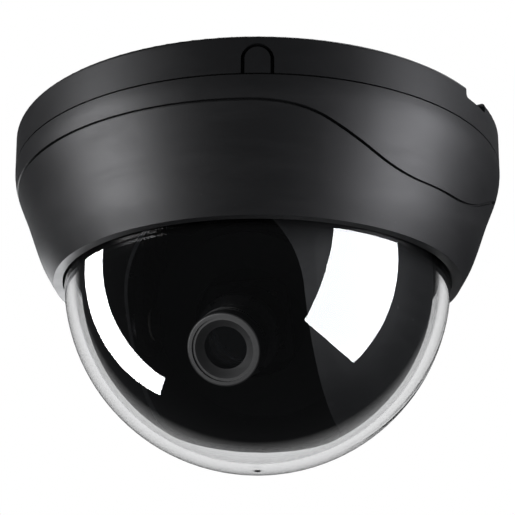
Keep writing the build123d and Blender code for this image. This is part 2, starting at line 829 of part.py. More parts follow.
def lens_front_ring():
    """Screwed ring that keeps the front glass, with a cone towards the light."""
    low = lens_front - front_glass_recess + front_glass_crown / 2.0
    high = lens_front - lens_ring_recess
    ring = disc(lens_ring_outer, low, high)
    cone = Pos(0, 0, (low + high) / 2.0) * Cone(lens_ring_inner, lens_ring_outer - 0.5, high - low + 2.0 * eps)
    return module_place() * (ring - cone)


# ---------------------------------------------------------------- cover body
def cover_shell():
    """Outer housing with its lip, ledge, bayonet ribs and styling groove."""
    outside = cover_curve(0.0)
    inside = cover_curve(cover_wall)
    top_edge = Line(outside @ 0, inside @ 0)
    low_edge = Line(outside @ 1, inside @ 1)
    shell = revolve(Plane.XZ * make_face([outside, top_edge, inside, low_edge]), Axis.Z)
    shell = fillet(shell.edges().filter_by(GeomType.CIRCLE).sort_by(Axis.Z)[-1:], seam_round)
    ledge = disc(solid_radius(), lip_z, ledge_z) & cover_solid()
    shell += ledge - disc(opening_radius, lip_z - eps, ledge_z + eps)
    for azimuth in lug_azimuths:
        shell += bayonet_rib(azimuth) & cover_solid()
    for azimuth in ring_screws:
        hole = disc(ring_screw_thread, ledge_z - ring_screw_bite - axial_gap, ledge_z + eps)
        shell -= polar(ring_screw_place(), azimuth) * hole
    shell -= styling_groove()
    return shell


def solid_radius():
    """Wide enough for anything inside the cover."""
    return base_radius + cover_wall


def cover_solid():
    """The cover's outside as one solid, moved in by half its wall."""
    side = cover_curve(cover_wall / 2.0)
    axis_top = Line(side @ 0, (0, (side @ 0).Y))
    axis_low = Line(side @ 1, (0, (side @ 1).Y))
    axis = Line((0, (side @ 0).Y), (0, (side @ 1).Y))
    return revolve(Plane.XZ * make_face([side, axis_top, axis, axis_low]), Axis.Z)


def bayonet_rib(azimuth):
    """Rib under one lug of the base, with a stop at its locked end."""
    inner = spigot_outer() + body_gap
    rib_top = lug_low_z - rib_gap
    rib = sector(solid_radius(), inner, rib_top - rib_height, rib_top, azimuth, rib_arc)
    stop_place = azimuth + lug_arc / 2.0 + stop_arc / 2.0 + rib_gap
    return rib + sector(solid_radius(), inner, rib_top - rib_height, lug_top_z, stop_place, stop_arc)


def styling_groove():
    """Thin groove round the cover that dips on two opposite sides."""
    slope = math.radians(groove_slope)
    drop = groove_low - groove_high
    bend = (groove_run - drop / math.tan(slope)) / (2.0 * math.tan(slope / 2.0))
    reach = bend * math.sin(slope)
    sink = bend * (1.0 - math.cos(slope))
    crest = groove_flat + groove_run
    far = base_radius * 1.1
    dip = Line((-groove_flat, -groove_low), (groove_flat, -groove_low))
    first = JernArc(dip @ 1, dip % 1, bend, groove_slope)
    middle = Line(first @ 1, (crest - reach, -groove_high - sink))
    second = JernArc(middle @ 1, middle % 1, bend, -groove_slope)
    level = Line(second @ 1, (far, -groove_high))
    path = Wire([dip.edge(), first.edge(), middle.edge(), second.edge(), level.edge()])
    strip = trace(path, groove_width)
    half = extrude(Plane.XZ * strip, amount=far, both=True)
    band = half + Rot(0, 0, 180) * half
    skin = cover_skin(groove_depth)
    return Rot(0, 0, groove_azimuth) * band & skin


def cover_skin(depth):
    """Outer skin of the cover, a little proud of it outside."""
    outside = cover_curve(-cover_wall)
    inside = cover_curve(depth)
    top_edge = Line(outside @ 0, inside @ 0)
    low_edge = Line(outside @ 1, inside @ 1)
    return revolve(Plane.XZ * make_face([outside, top_edge, inside, low_edge]), Axis.Z)


def ring_screw_place():
    """Radius of the screws that hold the bubble's ring."""
    return bubble_radius + ring_screw_reach


def dome_gasket():
    """Flat seal between the bubble's flange and the cover."""
    gasket = tube(flange_radius, opening_radius, ledge_z, gasket_z)
    return gasket - ring_screw_notches()


def ring_screw_notches():
    """Room for the ring's screws in the flange and the gasket."""
    radius = ring_screw_thread + 3.0 * screw_gap
    notch = disc(radius, ledge_z - eps, flange_z + eps)
    notch += Pos(0, -radius, 0) * block(2.0 * radius, 2.0 * radius, ledge_z - eps, flange_z + eps)
    tools = [polar(ring_screw_place(), azimuth) * notch for azimuth in ring_screws]
    return tools[0] + tools[1:]


def dome_bubble():
    """Clear hemisphere with a short skirt and a flange."""
    bubble = dome_cup(bubble_radius, bubble_radius - bubble_wall, flange_z)
    bubble += tube(flange_radius, bubble_radius - bubble_wall / 2.0, gasket_z, flange_z)
    return bubble - ring_screw_notches()


def dome_ring():
    """Flat ring that presses the bubble into the cover."""
    ring = tube(flange_radius, bubble_radius - ring_inset, flange_z, ring_z)
    for azimuth in ring_screws:
        ring += polar(ring_screw_place(), azimuth) * disc(small_head, flange_z, ring_z)
    for azimuth in ring_screws:
        hole = disc(ring_screw_thread + screw_gap, flange_z - eps, ring_z + eps)
        ring -= polar(ring_screw_place(), azimuth) * hole
    return ring


def dome_ring_screws():
    """Screws that hold the ring, down into the cover's ledge."""
    length = ring_z - ledge_z + ring_screw_bite
    part = screw(ring_screw_thread, length, small_head, small_head_height)
    return group(polar(ring_screw_place(), azimuth, ring_z) * part for azimuth in ring_screws)


# ---------------------------------------------------------------- output
def main():
    """Write every piece to its own file."""
    pieces = [
        base_plate, cable_knockout, pan_clamps, pan_clamp_screws, pan_friction_ring,
        pan_turntable, tilt_bracket, bracket_screws, lens_shroud, shroud_screws,
        tilt_frame, tilt_spacers, tilt_washers, tilt_screws,
        module_carrier, carrier_retainer, retainer_screws, sensor_board, power_board,
        board_standoffs, board_screws, image_sensor, sensor_window, lens_holder,
        infrared_filter, lens_lock_ring, board_link, video_processor, filter_capacitors,
        supply_coil, power_socket,
        lens_front_glass, lens_rear_glass, lens_barrel, lens_front_ring,
        cover_shell, dome_gasket, dome_bubble, dome_ring, dome_ring_screws,
    ]
    os.makedirs("parts", exist_ok=True)
    for piece in pieces:
        export_step(piece(), f"parts/{piece.__name__}.step")


main()
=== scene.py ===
"""Finishes and light for a ceiling dome camera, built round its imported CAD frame."""
import json
import math

import bpy
from mathutils import Matrix, Vector

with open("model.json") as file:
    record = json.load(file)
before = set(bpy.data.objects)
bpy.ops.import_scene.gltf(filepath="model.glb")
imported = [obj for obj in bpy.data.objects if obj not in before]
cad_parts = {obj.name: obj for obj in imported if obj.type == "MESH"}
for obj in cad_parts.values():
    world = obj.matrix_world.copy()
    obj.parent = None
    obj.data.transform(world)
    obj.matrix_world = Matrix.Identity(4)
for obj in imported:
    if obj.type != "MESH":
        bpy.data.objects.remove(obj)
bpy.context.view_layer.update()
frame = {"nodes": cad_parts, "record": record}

bl_info = {
    "name": "Dome camera finisher",
    "version": (1, 0, 0),
    "blender": (4, 5, 0),
    "location": "3D View > Sidebar > Dome camera",
    "description": "Materials and studio light for a ceiling dome camera",
    "category": "Object",
}

MM = 0.001
FLOOR_HALF = 6.0
FLOOR_LIGHT_HEIGHT = 3.0
HOUSING_MIDDLE = (0.0, 0.0, -0.02)

# the softbox mirrored at the right of the bubble: its middle, its two directions and its size
WINDOW_PLACE = (0.601, -0.330, -0.099)
WINDOW_ACROSS = (0.409, 0.910, -0.063)
WINDOW_UPWARD = (0.240, -0.093, 0.966)
WINDOW_SIZE = (0.58, 0.95)

# the strip mirrored at the left of the bubble
STRIP_PLACE = (-0.76, 0.225, -0.24)
STRIP_ACROSS = (0.0, -1.0, 0.0)
STRIP_UPWARD = (0.0, 0.0, 1.0)
STRIP_SIZE = (0.27, 1.20)

WHITE = (1.0, 1.0, 1.0)
COOL_WHITE = (0.97, 0.97, 1.0)
SKY_WHITE = (0.97, 0.98, 1.0)


# ---------------------------------------------------------------- sizes and colours
class DomeFinish(bpy.types.PropertyGroup):
    """Colours and finishes of the camera."""

    housing_color: bpy.props.FloatVectorProperty(
        name="Housing", description="Colour of the satin housing", subtype="COLOR",
        size=3, min=0.0, max=1.0, default=(0.0060, 0.0062, 0.0066))
    housing_roughness: bpy.props.FloatProperty(
        name="Housing roughness", description="How matt the housing is",
        min=0.0, max=1.0, default=0.47, subtype="FACTOR")
    grain_size: bpy.props.FloatProperty(
        name="Grain size", description="Size of the moulded grain",
        default=0.16 * MM, min=0.05 * MM, max=3.0 * MM, unit="LENGTH")
    shroud_color: bpy.props.FloatVectorProperty(
        name="Shroud", description="Colour of the inner dome", subtype="COLOR",
        size=3, min=0.0, max=1.0, default=(0.0035, 0.0035, 0.0038))
    bubble_tint: bpy.props.FloatVectorProperty(
        name="Bubble", description="Tint of the clear bubble", subtype="COLOR",
        size=3, min=0.0, max=1.0, default=(0.97, 0.975, 0.98))
    mask_color: bpy.props.FloatVectorProperty(
        name="Solder mask", description="Colour of the circuit boards", subtype="COLOR",
        size=3, min=0.0, max=1.0, default=(0.004, 0.007, 0.005))


class DomeStage(bpy.types.PropertyGroup):
    """Camera, floor and lights."""

    camera_distance: bpy.props.FloatProperty(
        name="Camera distance", description="Distance in front of the dome",
        default=0.25, min=0.1, max=5.0, unit="LENGTH")
    camera_drop: bpy.props.FloatProperty(
        name="Camera drop", description="Height of the camera below the ceiling face",
        default=0.11465, min=0.0, max=5.0, unit="LENGTH")
    camera_pitch: bpy.props.FloatProperty(
        name="Camera pitch", description="Upward tilt of the camera",
        default=math.radians(20.1), subtype="ANGLE")
    camera_lens: bpy.props.FloatProperty(
        name="Focal length", description="Focal length on a 36 mm sensor",
        default=91.1, min=10.0, max=500.0)
    floor_drop: bpy.props.FloatProperty(
        name="Floor", description="Height of the floor below the ceiling face",
        default=0.9, min=0.2, max=5.0, unit="LENGTH")
    window_power: bpy.props.FloatProperty(
        name="Right softbox", description="Power of the large softbox mirrored in the bubble",
        default=34.0, min=0.0, max=1000.0)
    strip_power: bpy.props.FloatProperty(
        name="Left softbox", description="Power of the tall strip mirrored in the bubble",
        default=24.0, min=0.0, max=1000.0)
    side_power: bpy.props.FloatProperty(
        name="Side lights", description="Power of the two broad lights on the housing",
        default=8.2, min=0.0, max=1000.0)
    over_power: bpy.props.FloatProperty(
        name="Top and back lights", description="Power of the lights above and behind the housing",
        default=6.0, min=0.0, max=1000.0)
    floor_power: bpy.props.FloatProperty(
        name="Floor light", description="Power of the light on the floor",
        default=70.0, min=0.0, max=10000.0)
    shroud_power: bpy.props.FloatProperty(
        name="Shroud light", description="Power of the light on the inner dome",
        default=6.0, min=0.0, max=1000.0)
    fill_power: bpy.props.FloatProperty(
        name="Inner fill", description="Power of the light on the pieces behind the bubble",
        default=3.0, min=0.0, max=1000.0)
    ambient: bpy.props.FloatProperty(
        name="Room light", description="Brightness of the room in reflections",
        default=0.03, min=0.0, max=10.0)


# ---------------------------------------------------------------- node helpers
class Tree:
    """A small wrapper that lays out shader nodes in the order they are made."""

    def __init__(self, tree):
        self.tree = tree
        self.count = 0

    def add(self, kind, values=None, **settings):
        """New node with its settings and unlinked input values."""
        node = self.tree.nodes.new(kind)
        node.location = (220 * (self.count % 8), -260 * (self.count // 8))
        self.count += 1
        for key, value in settings.items():
            setattr(node, key, value)
        for key, value in (values or {}).items():
            node.inputs[key].default_value = value
        return node

    def link(self, source, target):
        """Join an output socket to an input socket."""
        self.tree.links.new(source, target)

    def math(self, operation, first, second=0.5, clamp=False):
        """Math node of one or two values or sockets."""
        node = self.add("ShaderNodeMath", operation=operation, use_clamp=clamp)
        for index, value in enumerate((first, second)):
            if isinstance(value, (int, float)):
                node.inputs[index].default_value = value
            else:
                self.link(value, node.inputs[index])
        return node.outputs[0]

    def mix(self, factor, first, second):
        """Colour mix of two colours or sockets."""
        node = self.add("ShaderNodeMix", data_type="RGBA")
        for index, value in ((0, factor), (6, first), (7, second)):
            socket = node.inputs[index]
            if isinstance(value, (int, float)):
                socket.default_value = value
            elif isinstance(value, (tuple, list)):
                socket.default_value = (*value[:3], 1.0)
            else:
                self.link(value, socket)
        return node.outputs[2]

    def spread(self, value, low_in, high_in, low_out, high_out):
        """Map a value from one range to another."""
        node = self.add("ShaderNodeMapRange")
        for index, number in enumerate((low_in, high_in, low_out, high_out)):
            node.inputs[index + 1].default_value = number
        self.link(value, node.inputs[0])
        return node.outputs[0]

    def texture(self, kind, place, scale, values=None, **settings):
        """Texture node at a place, with a scale."""
        node = self.add(kind, values, **settings)
        self.link(place, node.inputs["Vector"])
        self.link(scale, node.inputs["Scale"])
        return node


def make_group(name, inputs, outputs):
    """Empty shader group with named sockets: returns its tree and its two end nodes."""
    tree = bpy.data.node_groups.new(name, "ShaderNodeTree")
    for label, kind, default in inputs:
        socket = tree.interface.new_socket(label, in_out="INPUT", socket_type=kind)
        socket.default_value = default
    for label, kind in outputs:
        tree.interface.new_socket(label, in_out="OUTPUT", socket_type=kind)
    wrap = Tree(tree)
    return wrap, wrap.add("NodeGroupInput"), wrap.add("NodeGroupOutput")


def grain_group():
    """Fine moulded or spark-eroded grain: a height and a speckle mask."""
    if "Moulded grain" in bpy.data.node_groups:
        return bpy.data.node_groups["Moulded grain"]
    tree, start, end = make_group(
        "Moulded grain",
        [("Grain size", "NodeSocketFloat", 0.35 * MM), ("Contrast", "NodeSocketFloat", 1.0)],
        [("Height", "NodeSocketFloat"), ("Speckle", "NodeSocketFloat")])
    place = tree.add("ShaderNodeTexCoord").outputs["Object"]
    scale = tree.math("DIVIDE", 1.0, start.outputs["Grain size"])
    fine = tree.texture("ShaderNodeTexNoise", place, scale, {"Detail": 2.0, "Roughness": 0.55})
    cells = tree.texture("ShaderNodeTexVoronoi", place, scale, feature="SMOOTH_F1")
    pits = tree.math("MULTIPLY", cells.outputs[0], 0.4)
    both = tree.math("ADD", tree.math("MULTIPLY", fine.outputs[0], 0.6), pits)
    tree.link(tree.math("MULTIPLY", both, start.outputs["Contrast"]), end.inputs["Height"])
    tree.link(tree.spread(fine.outputs[0], 0.35, 0.65, 0.0, 1.0), end.inputs["Speckle"])
    return tree.tree


def cloud_group():
    """Slow changes of tone over a surface, from handling and moulding."""
    if "Slow tone" in bpy.data.node_groups:
        return bpy.data.node_groups["Slow tone"]
    tree, start, end = make_group(
        "Slow tone",
        [("Patch size", "NodeSocketFloat", 20.0 * MM)],
        [("Tone", "NodeSocketFloat"), ("Smear", "NodeSocketFloat")])
    place = tree.add("ShaderNodeTexCoord").outputs["Object"]
    scale = tree.math("DIVIDE", 1.0, start.outputs["Patch size"])
    cloud = tree.texture("ShaderNodeTexNoise", place, scale, {"Detail": 4.0, "Roughness": 0.6})
    squeeze = tree.add("ShaderNodeMapping", {"Scale": (1.0, 1.0, 4.0)})
    tree.link(place, squeeze.inputs["Vector"])
    smear = tree.texture("ShaderNodeTexNoise", squeeze.outputs[0], scale,
                         {"Detail": 6.0, "Roughness": 0.7, "Distortion": 0.6})
    tree.link(cloud.outputs[0], end.inputs["Tone"])
    tree.link(tree.spread(smear.outputs[0], 0.42, 0.72, 0.0, 1.0), end.inputs["Smear"])
    return tree.tree


def edge_highlight_and_wear_group():
    """Rubbed edges with a painted edge highlight: brighter where a corner stands out, broken up by noise.
    """
    if "Edge highlight and wear" in bpy.data.node_groups:
        return bpy.data.node_groups["Edge highlight and wear"]
    tree, start, end = make_group(
        "Edge highlight and wear",
        [("Amount", "NodeSocketFloat", 0.5), ("Break-up size", "NodeSocketFloat", 1.5 * MM)],
        [("Mask", "NodeSocketFloat")])
    sharp = tree.add("ShaderNodeNewGeometry").outputs["Pointiness"]
    # painted highlight: convex corners found by pointiness are marked to be drawn brighter, as if catching
    # light, and also as rubbed wear
    edge = tree.spread(sharp, 0.51, 0.60, 0.0, 1.0)
    place = tree.add("ShaderNodeTexCoord").outputs["Object"]
    scale = tree.math("DIVIDE", 1.0, start.outputs["Break-up size"])
    noise = tree.texture("ShaderNodeTexNoise", place, scale, {"Detail": 5.0, "Roughness": 0.65})
    broken = tree.math("MULTIPLY", edge, tree.spread(noise.outputs[0], 0.35, 0.7, 0.0, 1.0))
    tree.link(tree.math("MULTIPLY", broken, start.outputs["Amount"], clamp=True), end.inputs["Mask"])
    return tree.tree


def dust_group():
    """Sparse specks of dust."""
    if "Dust specks" in bpy.data.node_groups:
        return bpy.data.node_groups["Dust specks"]
    tree, start, end = make_group(
        "Dust specks",
        [("Speck spacing", "NodeSocketFloat", 2.0 * MM), ("Amount", "NodeSocketFloat", 0.5)],
        [("Mask", "NodeSocketFloat")])
    place = tree.add("ShaderNodeTexCoord").outputs["Object"]
    scale = tree.math("DIVIDE", 1.0, start.outputs["Speck spacing"])
    cells = tree.texture("ShaderNodeTexVoronoi", place, scale, {"Randomness": 1.0})
    speck = tree.spread(cells.outputs["Distance"], 0.05, 0.09, 1.0, 0.0)
    split = tree.add("ShaderNodeSeparateColor")
    tree.link(cells.outputs["Color"], split.inputs[0])
    pick = tree.math("GREATER_THAN", split.outputs[0], 0.6)
    some = tree.math("MULTIPLY", speck, pick)
    tree.link(tree.math("MULTIPLY", some, start.outputs["Amount"]), end.inputs["Mask"])
    return tree.tree


class Finish:
    """One material under construction, with its Principled shader."""

    def __init__(self, name, **plain):
        self.material = bpy.data.materials.new(name)
        self.material.use_nodes = True
        self.material.node_tree.nodes.clear()
        self.tree = Tree(self.material.node_tree)
        self.shader = self.tree.add("ShaderNodeBsdfPrincipled")
        out = self.tree.add("ShaderNodeOutputMaterial")
        self.tree.link(self.shader.outputs[0], out.inputs["Surface"])
        for key, value in plain.items():
            self.shader.inputs[key.replace("_", " ")].default_value = value

    def group(self, maker, **values):
        """Place a shared effect with its own values."""
        node = self.tree.add("ShaderNodeGroup", node_tree=maker())
        for key, value in values.items():
            node.inputs[key.replace("_", " ")].default_value = value
        return node.outputs

    def feed(self, name, socket):
        """Link a changing value or colour to the shader."""
        self.tree.link(socket, self.shader.inputs[name])

    def let_lamps_through(self):
        """Let the lamps light what is behind the glass."""
        out = next(n for n in self.tree.tree.nodes if n.type == "OUTPUT_MATERIAL")
        path = self.tree.add("ShaderNodeLightPath")
        clear = self.tree.add("ShaderNodeBsdfTransparent")
        both = self.tree.add("ShaderNodeMixShader")
        lamp_ray = self.tree.math("MAXIMUM", path.outputs["Is Shadow Ray"], path.outputs["Is Diffuse Ray"])
        self.tree.link(lamp_ray, both.inputs[0])
        self.tree.link(self.shader.outputs[0], both.inputs[1])
        self.tree.link(clear.outputs[0], both.inputs[2])
        self.tree.link(both.outputs[0], out.inputs["Surface"])

    def bump(self, height, distance, strength=1.0):
        """Bump from a height that changes over the surface."""
        node = self.tree.add("ShaderNodeBump", {"Strength": strength, "Distance": distance})
        self.tree.link(height, node.inputs["Height"])
        self.feed("Normal", node.outputs[0])


def satin_plastic(name, color, roughness, grain, wear_and_highlight=0.15, bump=0.010 * MM):
    """Moulded plastic with a fine satin grain, slow tone and rubbed edges that carry a painted highlight.
    """
    made = Finish(name, IOR=1.5)
    tone = made.group(cloud_group, Patch_size=26.0 * MM)
    skin = made.group(grain_group, Grain_size=grain, Contrast=1.0)
    edge = made.group(edge_highlight_and_wear_group, Amount=wear_and_highlight)
    dust = made.group(dust_group, Speck_spacing=3.2 * MM, Amount=0.02)
    tree = made.tree
    base = tree.mix(tree.spread(tone["Tone"], 0.3, 0.7, 0.0, 1.0),
                    [c * 0.88 for c in color], [c * 1.12 for c in color])
    base = tree.mix(tree.math("MULTIPLY", skin["Speckle"], 0.18), base, [c * 1.5 for c in color])
    # partly wear, partly painted highlight: edges are painted brighter, as if catching the light
    base = tree.mix(edge["Mask"], base, [min(1.0, c * 2.4 + 0.01) for c in color])
    base = tree.mix(dust["Mask"], base, (0.30, 0.29, 0.27))
    made.feed("Base Color", base)
    rough = tree.spread(tone["Smear"], 0.0, 1.0, roughness - 0.03, roughness + 0.05)
    made.feed("Roughness", tree.math("SUBTRACT", rough, tree.math("MULTIPLY", edge["Mask"], 0.12)))
    made.bump(skin["Height"], bump)
    return made.material


def gloss_plastic(name, color, roughness):
    """Smooth black plastic with faint moulding ripple, dust and a painted edge highlight."""
    made = Finish(name, IOR=1.5)
    tone = made.group(cloud_group, Patch_size=14.0 * MM)
    dust = made.group(dust_group, Speck_spacing=2.6 * MM, Amount=0.30)
    edge = made.group(edge_highlight_and_wear_group, Amount=0.4)
    tree = made.tree
    base = tree.mix(tone["Tone"], [c * 0.8 for c in color], [c * 1.2 for c in color])
    # painted highlight: edges painted much brighter than the plastic, as if catching light, partly also
    # wear
    base = tree.mix(edge["Mask"], base, [c * 3.0 + 0.02 for c in color])
    base = tree.mix(dust["Mask"], base, (0.2, 0.2, 0.19))
    made.feed("Base Color", base)
    made.feed("Roughness", tree.spread(tone["Smear"], 0.0, 1.0, roughness, roughness + 0.08))
    made.bump(tone["Tone"], 0.12 * MM, 0.25)
    return made.material


def turned_metal(name, color, roughness, metallic, line_size=0.12 * MM, wear_and_highlight=0.6):
    """Turned or plated metal with fine tool lines and bright edges, partly wear and partly a painted
    highlight.
    """
    made = Finish(name, Metallic=metallic, IOR=1.6)
    tone = made.group(cloud_group, Patch_size=5.0 * MM)
    lines = made.group(grain_group, Grain_size=line_size, Contrast=1.0)
    edge = made.group(edge_highlight_and_wear_group, Amount=wear_and_highlight, **{"Break-up_size": 0.8 * MM})
    tree = made.tree
    base = tree.mix(tone["Tone"], [c * 0.82 for c in color], [min(1.0, c * 1.15) for c in color])
    # partly wear, partly painted highlight: edges painted brighter, as if catching light
    base = tree.mix(edge["Mask"], base, [min(1.0, c * 1.6 + 0.06) for c in color])
    made.feed("Base Color", base)
    made.feed("Roughness", tree.spread(tone["Smear"], 0.0, 1.0, roughness, min(1.0, roughness + 0.14)))
    made.bump(lines["Height"], 0.012 * MM)
    return made.material


def clear_polycarbonate(name, tint):
    """Clear moulded bubble with a slow tone, a faint ripple and dust."""
    made = Finish(name, Metallic=0.0, IOR=1.585, Transmission_Weight=1.0, Roughness=0.0)
    tone = made.group(cloud_group, Patch_size=22.0 * MM)
    dust = made.group(dust_group, Speck_spacing=4.0 * MM, Amount=0.10)
    tree = made.tree
    base = tree.mix(tone["Tone"], [c * 0.985 for c in tint], tint)
    made.feed("Base Color", tree.mix(dust["Mask"], base, (0.8, 0.8, 0.78)))
    made.bump(tone["Tone"], 0.05 * MM, 0.15)
    made.let_lamps_through()
    return made.material


def tinted_glass(name, tint, ior=1.62):
    """Tinted lens glass with faint polishing marks."""
    made = Finish(name, Metallic=0.0, IOR=ior, Transmission_Weight=1.0)
    tone = made.group(cloud_group, Patch_size=3.0 * MM)
    tree = made.tree
    made.feed("Base Color", tree.mix(tone["Tone"], [c * 0.9 for c in tint], tint))
    made.feed("Roughness", tree.spread(tone["Smear"], 0.0, 1.0, 0.0, 0.012))
    made.bump(tone["Tone"], 0.004 * MM, 0.3)
    made.let_lamps_through()
    return made.material


def circuit_board(name, color):
    """Solder mask over copper tracks and a woven core."""
    made = Finish(name, IOR=1.5)
    tree = made.tree
    place = tree.add("ShaderNodeTexCoord").outputs["Object"]
    turn = tree.add("ShaderNodeMapping", {"Scale": (700.0, 700.0, 700.0)})
    tree.link(place, turn.inputs[0])
    cells = tree.add("ShaderNodeTexVoronoi", {"Randomness": 0.55}, distance="MANHATTAN", feature="F1")
    tree.link(turn.outputs[0], cells.inputs["Vector"])
    bands = tree.math("FRACT", tree.math("MULTIPLY", cells.outputs["Distance"], 4.0))
    tracks = tree.math("LESS_THAN", bands, 0.45)
    weave = made.group(grain_group, Grain_size=0.5 * MM)
    base = tree.mix(tracks, color, [c * 1.9 + 0.004 for c in color])
    base = tree.mix(tree.math("MULTIPLY", weave["Speckle"], 0.15), base, [c * 0.5 for c in color])
    made.feed("Base Color", base)
    made.feed("Roughness", tree.spread(weave["Speckle"], 0.0, 1.0, 0.28, 0.42))
    made.bump(tracks, 0.03 * MM, 0.6)
    return made.material


def foam_seal(name, color):
    """Closed-cell foam."""
    made = Finish(name, IOR=1.4)
    cells = made.group(grain_group, Grain_size=0.25 * MM, Contrast=1.6)
    tree = made.tree
    made.feed("Base Color", tree.mix(cells["Speckle"], [c * 0.6 for c in color], [c * 1.5 for c in color]))
    made.feed("Roughness", tree.spread(cells["Speckle"], 0.0, 1.0, 0.78, 0.95))
    made.bump(cells["Height"], 0.08 * MM)
    return made.material


def recipes(look):
    """How each finish is made, by the record's slot: its maker, its name and its values."""
    black = (0.0045, 0.0045, 0.0050)
    return {
        "housing_plastic": (satin_plastic, "HousingPlastic", tuple(look.housing_color),
                            look.housing_roughness, look.grain_size),
        "shroud_plastic": (gloss_plastic, "ShroudPlastic", tuple(look.shroud_color), 0.42),
        "clear_bubble": (clear_polycarbonate, "ClearBubble", tuple(look.bubble_tint)),
        "black_plastic": (satin_plastic, "InnerPlastic", black, 0.55, 0.3 * MM),
        "black_steel": (turned_metal, "BlackSteel", (0.006, 0.006, 0.0065), 0.5, 0.2, 0.2 * MM, 0.2),
        "steel": (turned_metal, "PlatedSteel", (0.62, 0.62, 0.63), 0.24, 1.0),
        "black_screw": (turned_metal, "BlackScrew", (0.03, 0.03, 0.031), 0.35, 0.6),
        "nylon": (satin_plastic, "Nylon", (0.72, 0.70, 0.64), 0.5, 0.4 * MM, 0.1),
        "seal_foam": (foam_seal, "SealFoam", (0.02, 0.02, 0.02)),
        "board": (circuit_board, "CircuitBoard", tuple(look.mask_color)),
        "brass": (turned_metal, "Brass", (0.78, 0.60, 0.30), 0.22, 1.0),
        "chip": (satin_plastic, "ChipResin", (0.018, 0.018, 0.019), 0.5, 0.15 * MM, 0.2),
        "ceramic": (satin_plastic, "Ceramic", (0.20, 0.17, 0.15), 0.35, 0.2 * MM, 0.2),
        "optic_glass": (tinted_glass, "OpticGlass", (0.93, 0.95, 1.0)),
        "filter_glass": (tinted_glass, "FilterGlass", (0.55, 0.86, 0.88), 1.52),
        "lens_metal": (turned_metal, "LensAnodised", (0.030, 0.030, 0.031), 0.42, 0.2, 0.1 * MM, 0.3),
        "can_metal": (turned_metal, "CanAluminium", (0.8, 0.8, 0.81), 0.3, 1.0),
        "socket_plastic": (satin_plastic, "SocketPlastic", (0.74, 0.72, 0.66), 0.42, 0.3 * MM, 0.1),
    }


def finish_of(slot, look):
    """The finish of a slot, made the first time it is asked for."""
    maker, name, *values = recipes(look)[slot]
    return bpy.data.materials.get(name) or maker(name, *values)


def dress(look, *nodes):
    """Lay the record's finish on some CAD pieces."""
    slots = {part["node"]: part["material_slot"] for part in frame["record"]["subparts"]}
    for node in nodes:
        piece = frame["nodes"][node]
        material = finish_of(slots[node], look)
        if not piece.data.materials:
            piece.data.materials.append(material)
        for index in range(len(piece.data.materials)):
            piece.data.materials[index] = material
    return {"FINISHED"}


# ---------------------------------------------------------------- operators
class DOME_OT_housing(bpy.types.Operator):
    """Satin grain on the cover, the base and the cable knockout"""

    bl_idname = "dome.housing"
    bl_label = "Housing"

    def execute(self, context):
        return dress(context.scene.dome_finish, "cover_shell", "base_plate", "cable_knockout")


class DOME_OT_bubble(bpy.types.Operator):
    """Clear polycarbonate on the bubble"""

    bl_idname = "dome.bubble"
    bl_label = "Bubble"

    def execute(self, context):
        return dress(context.scene.dome_finish, "dome_bubble")


class DOME_OT_seat(bpy.types.Operator):
    """Foam, plastic and steel on the pieces that hold the bubble"""

    bl_idname = "dome.seat"
    bl_label = "Bubble seat"

    def execute(self, context):
        return dress(context.scene.dome_finish, "dome_gasket", "dome_ring", "dome_ring_screws")


class DOME_OT_pan_bearing(bpy.types.Operator):
    """Plastic, nylon and steel on the turntable and its clamps"""

    bl_idname = "dome.pan_bearing"
    bl_label = "Pan bearing"

    def execute(self, context):
        return dress(
            context.scene.dome_finish,
            "pan_turntable", "pan_friction_ring", "pan_clamps", "pan_clamp_screws")


class DOME_OT_bracket(bpy.types.Operator):
    """Black steel, plastic and washers on the bracket and the tilt frame"""

    bl_idname = "dome.bracket"
    bl_label = "Tilt bracket"

    def execute(self, context):
        return dress(
            context.scene.dome_finish,
            "tilt_bracket", "bracket_screws", "tilt_frame", "tilt_spacers",
            "tilt_washers", "tilt_screws")


class DOME_OT_shroud(bpy.types.Operator):
    """Smooth black plastic on the inner dome and its screws"""

    bl_idname = "dome.shroud"
    bl_label = "Shroud"

    def execute(self, context):
        return dress(context.scene.dome_finish, "lens_shroud", "shroud_screws")


class DOME_OT_carrier(bpy.types.Operator):
    """Black plastic on the carrier and its retainer"""

    bl_idname = "dome.carrier"
    bl_label = "Camera carrier"

    def execute(self, context):
        return dress(context.scene.dome_finish, "module_carrier", "carrier_retainer", "retainer_screws")


class DOME_OT_boards(bpy.types.Operator):
    """Solder mask on the boards, with their pillars and the link between them"""

    bl_idname = "dome.boards"
    bl_label = "Circuit boards"

    def execute(self, context):
        return dress(
            context.scene.dome_finish,
            "sensor_board", "power_board", "board_standoffs", "board_screws", "board_link")


class DOME_OT_components(bpy.types.Operator):
    """Resin, ceramic, aluminium and glass on the components"""

    bl_idname = "dome.components"
    bl_label = "Board components"

    def execute(self, context):
        return dress(
            context.scene.dome_finish,
            "image_sensor", "sensor_window", "video_processor", "filter_capacitors",
            "supply_coil", "power_socket")


class DOME_OT_lens(bpy.types.Operator):
    """Anodised metal and tinted glass on the lens and its holder"""

    bl_idname = "dome.lens"
    bl_label = "Lens"

    def execute(self, context):
        return dress(
            context.scene.dome_finish,
            "lens_holder", "infrared_filter", "lens_lock_ring", "lens_barrel",
            "lens_front_ring", "lens_front_glass", "lens_rear_glass")


class DOME_OT_stage(bpy.types.Operator):
    """Make the floor, the room, the softboxes and the camera"""

    bl_idname = "dome.stage"
    bl_label = "Stage"

    def execute(self, context):
        stage = context.scene.dome_stage
        build_floor(stage)
        build_room(stage)
        build_softboxes(stage)
        build_camera(stage)
        return {"FINISHED"}


